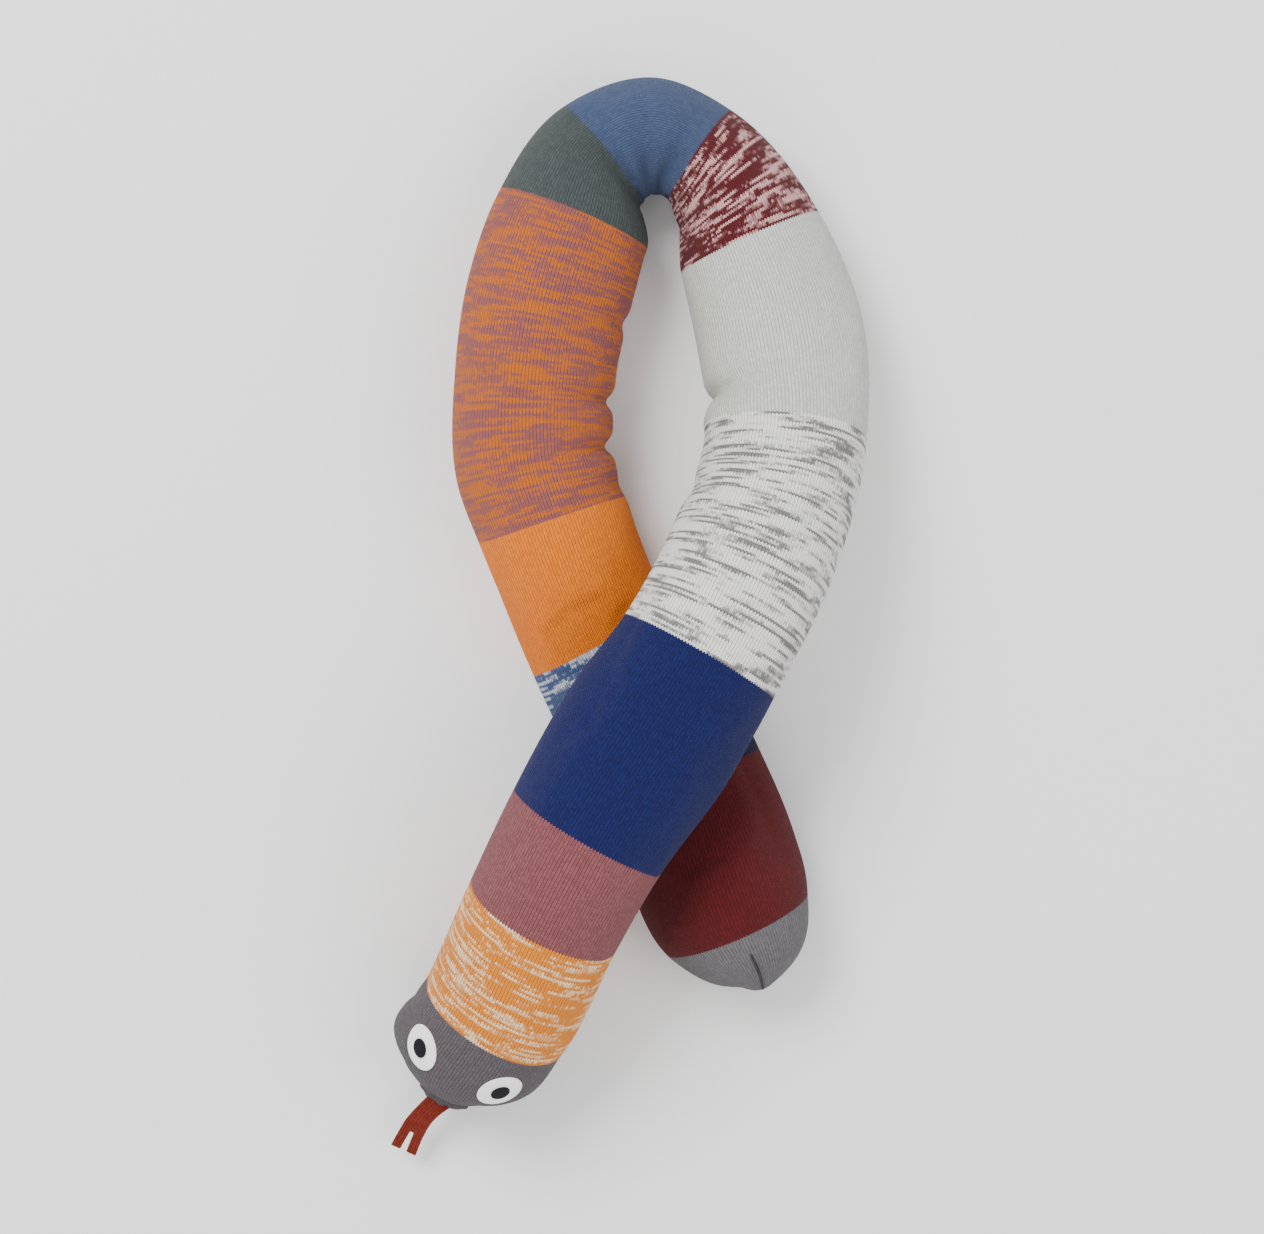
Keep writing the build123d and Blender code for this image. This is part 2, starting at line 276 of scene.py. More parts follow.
# %% [markdown]
# ## Knitting the tube
# The tube starts as a flat grid, with its columns along the lines of knitting and its rows along
# the courses. It is then rolled up along the line and joined under the belly. A grid is used
# because it already has a map for the pattern of stitches, which a ready-made cylinder would
# need unwrapping to get.

# %% Add the grid and roll it up
columns = 96
stitches_round = 144
stitch_height = 0.0021


def only(thing=None):
    """Selects one object and makes it the active one, or selects none."""
    for other in bpy.context.selected_objects:
        other.select_set(False)
    if thing:
        thing.select_set(True)
        bpy.context.view_layer.objects.active = thing


def points_of(thing):
    """The places of an object's points, one row for each."""
    values = np.zeros(len(thing.data.vertices) * 3, np.float32)
    thing.data.vertices.foreach_get("co", values)
    return values.reshape(-1, 3).astype(float)


def set_points(thing, points):
    """Moves an object's points to new places."""
    thing.data.vertices.foreach_set("co", points.astype(np.float32).ravel())
    thing.data.update()


only()
bpy.ops.mesh.primitive_grid_add(
    x_subdivisions=columns, y_subdivisions=len(rows) - 1, size=2, location=(0, 0, 0)
)
tube = bpy.context.object
tube.name = "tube"


def rolled(column, row, grow=0.0):
    """Where a point of the grid goes when the tube is rolled up."""
    where, length = row_where[row], row_length[row]
    angle = -90 + 360 * column / columns
    turn = np.radians(angle)
    level, up, way = axes_at(where)
    inward = dent_depth(where, length, angle) - grow
    half_width = along(half_widths, where)
    half_height = along(half_heights, where)
    shrink = np.clip(1 - inward / np.minimum(half_width, half_height), 0.1, 1.4)
    x = (np.cos(turn) * half_width * shrink)[:, None]
    y = (np.sin(turn) * half_height * shrink)[:, None]
    return along(places, where) + level * x + up * y


flat = points_of(tube)
column = np.rint((flat[:, 0] + 1) / 2 * columns).astype(int)
row = np.rint((flat[:, 1] + 1) / 2 * (len(rows) - 1)).astype(int)
start_smaller = -0.0022
shape = rolled(column, row, start_smaller)
set_points(tube, shape)
print("rolled a grid of", columns, "columns and", len(rows) - 1, "rows")

# %% [markdown]
# ## Closing the ends
# The real tube is sewn flat across the nose and gathered to a point at the tail. So the first
# row is pressed flat and the last row shrinks to a point, and points that meet are merged.

# %% Close the nose and the tail
nose_closing = 0.014
tail_closing = 0.016


def closed(points, row):
    """Points of the rolled tube, pressed flat at the nose and gathered at the tail."""
    length, where = row_length[row], row_where[row]
    centre = along(places, where)
    level, up, way = axes_at(where)
    offset = points - centre
    from_nose = np.clip(length / nose_closing, 0, 1)
    from_tail = np.clip((tube_length - length) / tail_closing, 0, 1)
    flatness = np.sqrt(1 - (1 - from_nose) ** 2)
    point = np.sqrt(1 - (1 - from_tail) ** 2)
    x = (offset * level).sum(1) * point
    y = (offset * up).sum(1) * flatness * point
    return centre + level * x[:, None] + up * y[:, None]


def on_floor(points, height=0.0004):
    """The floor presses the underside flat, with a soft edge to the flat part."""
    z = points[:, 2]
    soft = 0.003
    pressed = height + soft * np.exp((z - height - soft) / soft)
    points[:, 2] = np.where(z < height + soft, pressed, z)
    return points


def turn_outwards(thing, merge_within=None):
    """Merges points that meet, if a distance is given, and makes every face point outwards."""
    only(thing)
    bpy.ops.object.mode_set(mode="EDIT")
    bpy.ops.mesh.select_all(action="SELECT")
    if merge_within:
        bpy.ops.mesh.remove_doubles(threshold=merge_within)
    bpy.ops.mesh.normals_make_consistent(inside=False)
    bpy.ops.object.mode_set(mode="OBJECT")


set_points(tube, on_floor(closed(shape, row)))

stitch_map = tube.data.uv_layers[0]
stitch_map.name = "stitches"
uv = np.zeros(len(stitch_map.data) * 2)
stitch_map.data.foreach_get("uv", uv)
uv = uv.reshape(-1, 2)
loop_length = np.interp(uv[:, 1] * (len(rows) - 1), np.arange(len(rows)), row_length)
uv = np.stack([uv[:, 0] * stitches_round, loop_length / stitch_height], 1)
stitch_map.data.foreach_set("uv", uv.ravel())

for name, values in (("grid_column", column), ("grid_row", row)):
    attribute = tube.data.attributes.new(name, "FLOAT", "POINT")
    attribute.data.foreach_set("value", values.astype(np.float32))

turn_outwards(tube, merge_within=0.00002)
print("closed tube with", len(tube.data.vertices), "points")

# %% [markdown]
# ## Stuffing it
# Blender's cloth simulation blows the tube up from inside, as the fibre does. Two vertex groups
# guide it. The valleys of the deep creases and the sewn ends are held. On the inside of the
# tight fold, where the knit has more length than room, it is allowed to grow, so that it
# buckles between the creases as the real knit does. How far a point moves is capped.

# %% Choose what the stuffing may move
crease_depth = 0.0025
crease_fade = 0.004
sewn_end = 0.010
least_slack = 1.15


def attribute_of(thing, name):
    """The values that an attribute gives an object's points."""
    values = np.zeros(len(thing.data.vertices), np.float32)
    thing.data.attributes[name].data.foreach_get("value", values)
    return values


def paint_group(thing, name, weights):
    """Makes a vertex group with a weight for every point."""
    group = thing.vertex_groups.new(name=name)
    for level in np.unique(np.round(weights, 2)):
        chosen = np.nonzero(np.round(weights, 2) == level)[0]
        group.add([int(i) for i in chosen], float(level), "REPLACE")


column = attribute_of(tube, "grid_column")
row = np.rint(attribute_of(tube, "grid_row")).astype(int)
angle = -90 + 360 * column / columns
depth = dent_depth(row_where[row], row_length[row], angle)
ends = np.minimum(row_length[row], tube_length - row_length[row])
held = np.clip((depth - crease_depth) / crease_fade, 0, 1)
held = np.maximum(held, np.clip(1 - ends / sewn_end, 0, 1))

design = on_floor(closed(rolled(column, row), row))
middle_of_row = along(places, row_where)
row_step = np.linalg.norm(np.gradient(middle_of_row, axis=0), axis=1)[row]
row_after = np.minimum(row + 1, len(rows) - 1)
next_row = on_floor(closed(rolled(column, row_after), row_after))
side_step = np.linalg.norm(next_row - design, axis=1)
slack = np.clip(row_step / np.maximum(side_step, 0.001) - least_slack, 0, 1)

paint_group(tube, "held", held)
paint_group(tube, "slack", slack)
print(int((held > 0.5).sum()), "points held,", int((slack > 0.1).sum()), "with slack")

# %% Stuff the tube
start_points = points_of(tube)
stuffing = tube.modifiers.new("stuffing", "CLOTH")
cloth = stuffing.settings
cloth.quality = 4
cloth.mass = 0.25
cloth.tension_stiffness = 22
cloth.compression_stiffness = 12
cloth.shear_stiffness = 6
cloth.bending_stiffness = 0.15
cloth.use_pressure = True
cloth.uniform_pressure_force = 4
cloth.vertex_group_mass = "held"
cloth.pin_stiffness = 1
cloth.vertex_group_shrink = "slack"
cloth.shrink_min = -0.01
cloth.shrink_max = -0.35
cloth.effector_weights.gravity = 0
stuffing.collision_settings.use_collision = False
stuffing.point_cache.frame_start = 1
stuffing.point_cache.frame_end = 20
for step in range(1, 19):
    bpy.context.scene.frame_set(step)
bpy.ops.object.modifier_apply(modifier=stuffing.name)
bpy.context.scene.frame_set(1)
stuffed = points_of(tube)
furthest = float(np.abs(stuffed - start_points).max())
print("the stuffing moved points by up to", round(furthest * 1000, 1), "mm")

# %% [markdown]
# The result is kept near the CAD shape: a point may stand a little proud of it, and hardly at
# all where the neck lies on the back, so that the two don't run into each other. It may sink by
# a little too, but not so far that the tight fold opens.

# %% Keep the stuffed tube close to the CAD shape
furthest_move = 0.012
most_proud = 0.0035
proud_at_crossing = 0.0008
crossing_reach = 0.12
most_sunk = 0.003

where = row_where[row]
level, up, way = axes_at(where)
turn = np.radians(angle)
outward = level * np.cos(turn)[:, None] + up * np.sin(turn)[:, None]
crossing = along(places, [number_of["neck_crossing"]])[0]
near_crossing = np.linalg.norm(design[:, :2] - crossing[:2], axis=1) < crossing_reach
before_tip = where < number_of["tail_round"]
proud = np.where(near_crossing & before_tip, proud_at_crossing, most_proud)

moved = stuffed - design
length = np.linalg.norm(moved, axis=1)
moved *= np.minimum(1, furthest_move / np.maximum(length, 1e-6))[:, None]
stand = (moved * outward).sum(1)
moved -= outward * np.maximum(stand - proud, 0)[:, None]
moved -= outward * np.minimum(stand + most_sunk, 0)[:, None]
set_points(tube, on_floor(design + moved))


def apply_modifier(thing, kind, name, **settings):
    """Adds a modifier with some settings and applies it."""
    modifier = thing.modifiers.new(name, kind)
    for key, value in settings.items():
        setattr(modifier, key, value)
    only(thing)
    bpy.ops.object.modifier_apply(modifier=modifier.name)


apply_modifier(tube, "SUBSURF", "finer", levels=1, render_levels=1)
print("stuffed tube:", len(tube.data.polygons), "faces")

# %% [markdown]
# ## Cutting the tube into its bands
# Each band is its own yarn, so each becomes its own piece. Every face gets the number of its
# band as a material number, and Blender then separates the tube by material. A thickness is
# added on the inside, which also closes each piece at its ends.

# %% Cut the tube into bands
cloth_thickness = 0.0018
smooth_under = math.radians(50)


def face_lengths(thing):
    """How far along the tube each face lies, from its stitch map."""
    courses = np.zeros(len(thing.data.uv_layers["stitches"].data) * 2)
    thing.data.uv_layers["stitches"].data.foreach_get("uv", courses)
    courses = courses.reshape(-1, 2)[:, 1] * stitch_height
    starts = np.array([f.loop_start for f in thing.data.polygons])
    totals = np.array([f.loop_total for f in thing.data.polygons])
    return np.add.reduceat(courses, starts) / totals


band_ends = np.array([row_length[last_row[band]] for band, *_ in bands])
whole_tube = tube.copy()
whole_tube.data = tube.data.copy()

yarns = {}
for band, *_ in bands:
    yarns[band] = bpy.data.materials.new(band + "_yarn")
    tube.data.materials.append(yarns[band])
numbers = np.clip(np.searchsorted(band_ends, face_lengths(tube)), 0, len(bands) - 1)
tube.data.polygons.foreach_set("material_index", numbers.astype(np.int32))

only(tube)
bpy.ops.object.mode_set(mode="EDIT")
bpy.ops.mesh.select_all(action="SELECT")
bpy.ops.mesh.separate(type="MATERIAL")
bpy.ops.object.mode_set(mode="OBJECT")

covers = {}
for piece in list(bpy.context.selected_objects):
    band = piece.data.materials[0].name.removesuffix("_yarn")
    piece.name = piece.data.name = band + "_cover"
    piece.vertex_groups.clear()
    covers[band] = piece
for band, piece in covers.items():
    apply_modifier(piece, "SOLIDIFY", "cloth_thickness", thickness=cloth_thickness, offset=-1)
    bpy.ops.object.shade_smooth_by_angle(angle=smooth_under)
print("cut into", len(covers), "bands:", ", ".join(covers))

# %% [markdown]
# ## The filling
# The fibre shows nowhere, but the covers would be empty bags without it. Each length of filling
# is the stuffed tube again, a little smaller, cut off short of the bends on both sides, so that
# it has room when the toy is bent. Its open ends are closed with a face.

# %% Make the lengths of filling
filling_ends = {
    "head_filling": (None, "head_turn"),
    "nape_filling": ("head_turn", "head_lift"),
    "neck_filling": ("head_lift", "neck_lift"),
    "loop_filling": ("neck_lift", "back_bend"),
    "back_filling": ("back_bend", "tail_turn"),
    "tail_filling": ("tail_turn", None),
}
# Joint: its place in stations, and the room that is left free on both sides of it.
joint_rooms = {
    "head_turn": (3.5, 0.034),
    "head_lift": (4.5, 0.028),
    "neck_lift": (10.0, 0.056),
    "back_bend": (17.0, 0.030),
    "tail_turn": (24.0, 0.044),
}
nose_room = 0.016
tail_room = 0.018
filling_gap = 0.0045


def beside(joint, side):
    """Where a filling stops, on the tail's side of a joint (1) or on the nose's side (-1)."""
    place, room = joint_rooms[joint]
    return float(np.interp(place, fine_where, fine_length)) + side * room


def delete_faces(thing, chosen):
    """Deletes the chosen faces of an object."""
    only(thing)
    bpy.ops.object.mode_set(mode="EDIT")
    bpy.ops.mesh.select_mode(type="FACE")
    bpy.ops.mesh.select_all(action="DESELECT")
    bpy.ops.object.mode_set(mode="OBJECT")
    thing.data.polygons.foreach_set("select", chosen)
    bpy.ops.object.mode_set(mode="EDIT")
    bpy.ops.mesh.delete(type="FACE")
    bpy.ops.mesh.select_mode(type="VERT")
    bpy.ops.object.mode_set(mode="OBJECT")


fillings = {}
for name, (front, rear) in filling_ends.items():
    begin = beside(front, 1) if front else nose_room
    finish = beside(rear, -1) if rear else tube_length - tail_room
    filling = whole_tube.copy()
    filling.data = whole_tube.data.copy()
    filling.name = filling.data.name = name + "_fibre"
    bpy.context.scene.collection.objects.link(filling)
    lengths = face_lengths(filling)
    delete_faces(filling, (lengths < begin) | (lengths > finish))
    bpy.ops.object.mode_set(mode="EDIT")
    bpy.ops.mesh.select_all(action="SELECT")
    bpy.ops.transform.shrink_fatten(value=-filling_gap)
    bpy.ops.mesh.select_all(action="DESELECT")
    bpy.ops.mesh.select_non_manifold(extend=False)
    bpy.ops.mesh.edge_face_add()
    bpy.ops.object.mode_set(mode="OBJECT")
    turn_outwards(filling)
    filling.vertex_groups.clear()
    bpy.ops.object.shade_smooth_by_angle(angle=smooth_under)
    fillings[name] = filling
bpy.data.objects.remove(whole_tube)
print("made", len(fillings), "lengths of filling")

# %% [markdown]
# ## Materials: tools for the node groups
# The yarns share three effects: the stitches themselves, the streaks of two-coloured yarn, and
# the toothed line where one yarn changes to the next. The felts share one more. Each is a node
# group with named inputs and outputs. Colours are written as a dyer would read them off a screen
# and turned into the linear values that shaders need.

# %% Helpers for colours and nodes
def dye(red, green, blue):
    """A screen colour, 0 to 255, as the linear colour a shader needs."""
    shares = [value / 255 for value in (red, green, blue)]
    linear = [((c + 0.055) / 1.055) ** 2.4 if c > 0.04045 else c / 12.92 for c in shares]
    return (*linear, 1.0)


class Graph:
    """Adds nodes to a node tree and joins them with short calls."""

    def __init__(self, tree):
        self.tree = tree

    def node(self, kind, **settings):
        made = self.tree.nodes.new(kind)
        for key, value in settings.items():
            setattr(made, key, value)
        return made

    def feed(self, socket, value):
        if isinstance(value, bpy.types.NodeSocket):
            self.tree.links.new(value, socket)
        else:
            socket.default_value = value

    def math(self, operation, first, second=0.0, third=0.0):
        made = self.node("ShaderNodeMath", operation=operation)
        for socket, value in zip(made.inputs, (first, second, third)):
            self.feed(socket, value)
        return made.outputs[0]

    def mix(self, factor, first, second, blend="MIX"):
        made = self.node("ShaderNodeMix", data_type="RGBA", blend_type=blend)
        self.feed(made.inputs[0], factor)
        self.feed(made.inputs[6], first)
        self.feed(made.inputs[7], second)
        return made.outputs[2]

    def split(self, vector):
        made = self.node("ShaderNodeSeparateXYZ")
        self.feed(made.inputs[0], vector)
        return made.outputs

    def join(self, x, y, z=0.0):
        made = self.node("ShaderNodeCombineXYZ")
        for socket, value in zip(made.inputs, (x, y, z)):
            self.feed(socket, value)
        return made.outputs[0]

    def smooth(self, value, low, high):
        made = self.node("ShaderNodeMapRange", interpolation_type="SMOOTHSTEP")
        self.feed(made.inputs["Value"], value)
        self.feed(made.inputs["From Min"], low)
        self.feed(made.inputs["From Max"], high)
        return made.outputs[0]

    def noise(self, vector, scale, detail):
        made = self.node("ShaderNodeTexNoise")
        self.feed(made.inputs["Vector"], vector)
        made.inputs["Scale"].default_value = scale
        made.inputs["Detail"].default_value = detail
        return made.outputs["Fac"]

    def speck(self, vector):
        made = self.node("ShaderNodeTexWhiteNoise")
        self.feed(made.inputs["Vector"], vector)
        return made.outputs["Value"]


def new_group(name, inputs, outputs):
    """An empty node group with its sockets. Returns the group, its graph, and its ends."""
    group = bpy.data.node_groups.new(name, "ShaderNodeTree")
    for label, kind, value in inputs:
        socket = group.interface.new_socket(label, in_out="INPUT", socket_type=kind)
        if value is not None:
            socket.default_value = value
    for label, kind in outputs:
        group.interface.new_socket(label, in_out="OUTPUT", socket_type=kind)
    graph = Graph(group)
    return group, graph, graph.node("NodeGroupInput").outputs, graph.node("NodeGroupOutput").inputs


print("node helpers ready")

# %% [markdown]
# ## The stitches
# Plain knitting looks like columns of small V shapes. Both legs of a V slope up and away from
# the middle of its column, so the height of the yarn depends on how far up the column a point is
# plus how far it is from the middle. Between two columns there is a groove. Every stitch also
# gets its own random shade, because yarn twists. The map counts stitches round the tube and
# courses along it, so whole numbers are the edges of stitches.

# %% The stitch group
stitches, graph, given, result = new_group(
    "Knit stitches",
    [("Stitch map", "NodeSocketVector", None), ("Slope", "NodeSocketFloat", 0.7)],
    [("Height", "NodeSocketFloat"), ("Groove", "NodeSocketFloat"), ("Shade", "NodeSocketFloat"),
     ("Cell", "NodeSocketVector")],
)
u, v, _ = graph.split(given["Stitch map"])
from_middle = graph.math("ABSOLUTE", graph.math("SUBTRACT", graph.math("FRACT", u), 0.5))
from_middle = graph.math("MULTIPLY", from_middle, 2.0)
course = graph.math("ADD", v, graph.math("MULTIPLY", from_middle, given["Slope"]))
phase = graph.math("FRACT", course)
leg = graph.math("POWER", graph.math("SINE", graph.math("MULTIPLY", phase, math.pi)), 0.6)
edge = graph.math("SUBTRACT", 1.0, graph.math("POWER", from_middle, 3.0))
near_middle = graph.math("POWER", graph.math("SUBTRACT", 1.0, from_middle), 5.0)
centre = graph.math("SUBTRACT", 1.0, graph.math("MULTIPLY", near_middle, 0.35))
rounded = graph.math("MULTIPLY", edge, centre)
raised = graph.math("MULTIPLY_ADD", leg, 0.7, 0.3)
graph.feed(result["Height"], graph.math("MULTIPLY", rounded, raised))
graph.feed(result["Groove"], graph.math("SUBTRACT", 1.0, rounded))
cell = graph.join(graph.math("FLOOR", u), graph.math("FLOOR", course))
graph.feed(result["Cell"], cell)
graph.feed(result["Shade"], graph.speck(cell))
print("made the stitch group")

# %% [markdown]
# ## Two-coloured yarn
# The mixed bands are knitted from a yarn that changes colour every few centimetres. Each course
# therefore carries its own row of streaks, which run round the tube. A noise stretched along
# the course gives them; a second, broader noise makes neighbouring courses cluster, and single
# stitches of the other colour stand for the twist.

# %% The streak group
streaks, graph, given, result = new_group(
    "Yarn streaks",
    [("Cell", "NodeSocketVector", None), ("Shade", "NodeSocketFloat", 0.5),
     ("Length", "NodeSocketFloat", 10.0), ("Share", "NodeSocketFloat", 0.5),
     ("Twist", "NodeSocketFloat", 0.2)],
    [("Mask", "NodeSocketFloat")],
)
x, y, _ = graph.split(given["Cell"])
along_course = graph.math("DIVIDE", x, given["Length"])
one_course = graph.noise(graph.join(along_course, graph.math("MULTIPLY", y, 7.31)), 1.0, 1.0)
wide_x, wide_y = graph.math("MULTIPLY", x, 0.05), graph.math("MULTIPLY", y, 0.22)
broad = graph.noise(graph.join(wide_x, wide_y, 5.0), 1.0, 1.0)
value = graph.math("MULTIPLY_ADD", one_course, 0.82, graph.math("MULTIPLY", broad, 0.18))
twist = graph.math("MULTIPLY", graph.math("SUBTRACT", given["Shade"], 0.5), given["Twist"])
value = graph.math("ADD", value, twist)
limit = graph.math("SUBTRACT", 0.60, graph.math("MULTIPLY", given["Share"], 0.2))
low, high = graph.math("SUBTRACT", limit, 0.07), graph.math("ADD", limit, 0.07)
graph.feed(result["Mask"], graph.smooth(value, low, high))
print("made the streak group")

# %% [markdown]
# ## Where the yarn changes
# A new yarn starts with a whole course, so the line between two colours is toothed, one tooth
# for each stitch. The pieces are cut straight, so near each end a piece shows its neighbour's
# colour between the legs of its last stitches.

# %% The yarn change group
changes, graph, given, result = new_group(
    "Yarn change",
    [("Cell", "NodeSocketVector", None), ("First", "NodeSocketFloat", 0.0),
     ("Last", "NodeSocketFloat", 1.0)],
    [("Front", "NodeSocketFloat"), ("Rear", "NodeSocketFloat")],
)
_, y, _ = graph.split(given["Cell"])
graph.feed(result["Front"], graph.math("LESS_THAN", y, graph.math("SUBTRACT", given["First"], 0.5)))
graph.feed(result["Rear"], graph.math("GREATER_THAN", y, graph.math("SUBTRACT", given["Last"], 0.5)))
print("made the yarn change group")

# %% [markdown]
# ## Felt
# Felt is a mat of fibres with no weave. Two fine noises, one stretched, give its short fibres.

# %% The felt group
felt, graph, given, result = new_group(
    "Felt fibres",
    [("Place", "NodeSocketVector", None), ("Fineness", "NodeSocketFloat", 900.0)],
    [("Height", "NodeSocketFloat"), ("Shade", "NodeSocketFloat")],
)
scaled = graph.node("ShaderNodeVectorMath", operation="SCALE")
graph.feed(scaled.inputs[0], given["Place"])
graph.feed(scaled.inputs["Scale"], given["Fineness"])
fine = graph.noise(scaled.outputs[0], 1.0, 4.0)
a, b, c = graph.split(scaled.outputs[0])
fibres = graph.noise(graph.join(a, graph.math("MULTIPLY", b, 0.25), c), 1.6, 3.0)
both = graph.math("ADD", graph.math("MULTIPLY", fine, 0.5), graph.math("MULTIPLY", fibres, 0.5))
graph.feed(result["Height"], both)
graph.feed(result["Shade"], graph.smooth(both, 0.3, 0.7))
print("made the felt group")

# %% [markdown]
# ## The yarns
# Each band has two colours. In a plain yarn they are close together and stand for the uneven
# dye. In a mixed yarn they are far apart, and the streaks decide which of them a stitch shows.
# Near the ends of a band the stitches of the next band reach into it.

# %% The colours of the bands
# Band: main colour, other colour, share of the other, length of a streak in stitches, twist.
looks = {
    "grey_head": ((84, 78, 83), (88, 82, 87), 0.5, 3, 0.5),
    "amber_cream": ((218, 126, 22), (238, 206, 164), 0.24, 16, 0.10),
    "mauve": ((124, 70, 74), (129, 75, 79), 0.5, 3, 0.5),
    "royal_blue": ((13, 20, 76), (16, 24, 80), 0.5, 3, 0.5),
    "white_grey": ((234, 233, 228), (118, 117, 115), 0.32, 16, 0.08),
    "pale_grey": ((200, 203, 196), (204, 207, 200), 0.5, 3, 0.5),
    "burgundy_cream": ((84, 20, 26), (210, 162, 160), 0.26, 14, 0.10),
    "steel_blue": ((60, 74, 105), (64, 78, 109), 0.5, 3, 0.5),
    "slate_green": ((62, 69, 69), (66, 73, 73), 0.5, 3, 0.5),
    "amber_mauve": ((184, 95, 26), (134, 76, 76), 0.52, 16, 0.14),
    "amber": ((222, 112, 4), (225, 117, 8), 0.5, 3, 0.5),
    "pale_blue": ((60, 80, 122), (198, 202, 212), 0.26, 14, 0.10),
    "navy": ((14, 18, 44), (17, 21, 48), 0.5, 3, 0.5),
    "burgundy": ((80, 13, 18), (84, 15, 21), 0.5, 3, 0.5),
    "tail_thread": ((52, 50, 54), (58, 56, 60), 0.5, 3, 0.5),
    "grey_tail": ((98, 96, 99), (102, 100, 103), 0.5, 3, 0.5),
}


def yarn_colour(graph, band, cell, shade):
    """The colour of each stitch of a band's yarn."""
    main, other, share, length, twist = looks[band]
    streak = graph.node("ShaderNodeGroup", node_tree=streaks)
    graph.feed(streak.inputs["Cell"], cell)
    graph.feed(streak.inputs["Shade"], shade)
    for label, value in (("Length", length), ("Share", share), ("Twist", twist)):
        streak.inputs[label].default_value = value
    return graph.mix(streak.outputs["Mask"], dye(*main), dye(*other))


def edge_course(length):
    """The number of the first course of a new yarn, from where its band starts."""
    return round(length / stitch_height + 0.35)


print(len(looks), "yarns")

# %% [markdown]
# The stitch pattern darkens the grooves between the stitches, because little light gets into
# them, and a bump raises the legs. Knitted cotton is dull, with a soft shine where it curves
# away, so the roughness is high and there is a little sheen.

# %% Dye the bands
yarn_shine = {"Roughness": 0.92, "Specular IOR Level": 0.2, "Sheen Weight": 0.04}


def with_nodes(material):
    """A graph to add to a material's nodes, and its shader."""
    material.use_nodes = True
    return Graph(material.node_tree), material.node_tree.nodes["Principled BSDF"]


def finish_surface(graph, shader, height, strength, distance, shine):
    """Raises a surface by a pattern of heights and sets how it shines."""
    bump = graph.node("ShaderNodeBump")
    bump.inputs["Strength"].default_value = strength
    bump.inputs["Distance"].default_value = distance
    graph.feed(bump.inputs["Height"], height)
    graph.feed(shader.inputs["Normal"], bump.outputs[0])
    for label, value in shine.items():
        shader.inputs[label].default_value = value


def knit_material(material, band, number=None):
    """Builds a knitted material for one band; with a number, its neighbours show at its ends."""
    graph, shader = with_nodes(material)
    stitch_uv = graph.node("ShaderNodeUVMap", uv_map="stitches")
    stitch = graph.node("ShaderNodeGroup", node_tree=stitches)
    graph.feed(stitch.inputs["Stitch map"], stitch_uv.outputs[0])
    cell, shade = stitch.outputs["Cell"], stitch.outputs["Shade"]
    colour = yarn_colour(graph, band, cell, shade)
    if number is not None:
        first = edge_course(row_length[first_row[band]])
        last = edge_course(row_length[last_row[band]])
        change = graph.node("ShaderNodeGroup", node_tree=changes)
        graph.feed(change.inputs["Cell"], cell)
        change.inputs["First"].default_value = first
        change.inputs["Last"].default_value = last
        if number > 0:
            before = yarn_colour(graph, bands[number - 1][0], cell, shade)
            colour = graph.mix(change.outputs["Front"], colour, before)
        if number < len(bands) - 1:
            after = yarn_colour(graph, bands[number + 1][0], cell, shade)
            colour = graph.mix(change.outputs["Rear"], colour, after)
    darker = graph.math("MULTIPLY_ADD", stitch.outputs["Groove"], -0.62, 1.12)
    uneven = graph.math("MULTIPLY_ADD", shade, 0.10, 0.95)
    colour = graph.mix(1.0, colour, graph.math("MULTIPLY", darker, uneven), "MULTIPLY")
    graph.feed(shader.inputs["Base Color"], colour)
    shine = {**yarn_shine, "Sheen Roughness": 0.6}
    finish_surface(graph, shader, stitch.outputs["Height"], 0.8, 0.0010, shine)


for number, (band, *_) in enumerate(bands):
    knit_material(yarns[band], band, number)
print("dyed", len(yarns), "bands")

# %% [markdown]
# ## Felt and fibre
# The eyes are cut from white and near-black felt. The filling is white fibre.

# %% Felt and fibre materials
def felt_material(name, low, high, fineness, height):
    """A dull material of matted fibres, between two colours."""
    material = bpy.data.materials.new(name)
    graph, shader = with_nodes(material)
    place = graph.node("ShaderNodeTexCoord")
    fibres = graph.node("ShaderNodeGroup", node_tree=felt)
    graph.feed(fibres.inputs["Place"], place.outputs["Object"])
    fibres.inputs["Fineness"].default_value = fineness
    graph.feed(shader.inputs["Base Color"], graph.mix(fibres.outputs["Shade"], dye(*low), dye(*high)))
    shine = {"Roughness": 0.95, "Specular IOR Level": 0.15, "Sheen Weight": 0.08}
    finish_surface(graph, shader, fibres.outputs["Height"], 0.5, height, shine)
    return material


white_felt = felt_material("white_felt", (244, 244, 242), (252, 252, 250), 900.0, 0.0004)
dark_felt = felt_material("dark_felt", (16, 15, 19), (28, 27, 32), 900.0, 0.0004)
fibre = felt_material("filling_fibre", (222, 219, 212), (240, 238, 233), 260.0, 0.002)
for filling in fillings.values():
    filling.data.materials.clear()
    filling.data.materials.append(fibre)
print("made the felts and the fibre")

# %% [markdown]
# ## The eyes
# An eye is an oval of white felt with a smaller dark oval on it. Each starts as a disc with
# rings inset in it, so that it can bend. It is laid over the head, projected onto the knit,
# thickened, and its cut edge is slightly rounded.

# %% Cut out and lay on the eyes
eye_length = 0.0375
eye_width = 0.0295
eye_place = 2.46
eye_round = 33.0
eye_toe_in = 47.0
pupil_share = 0.42
felt_thickness = 0.0016
held_above = 0.03
rings = 7
ring_width = 0.12


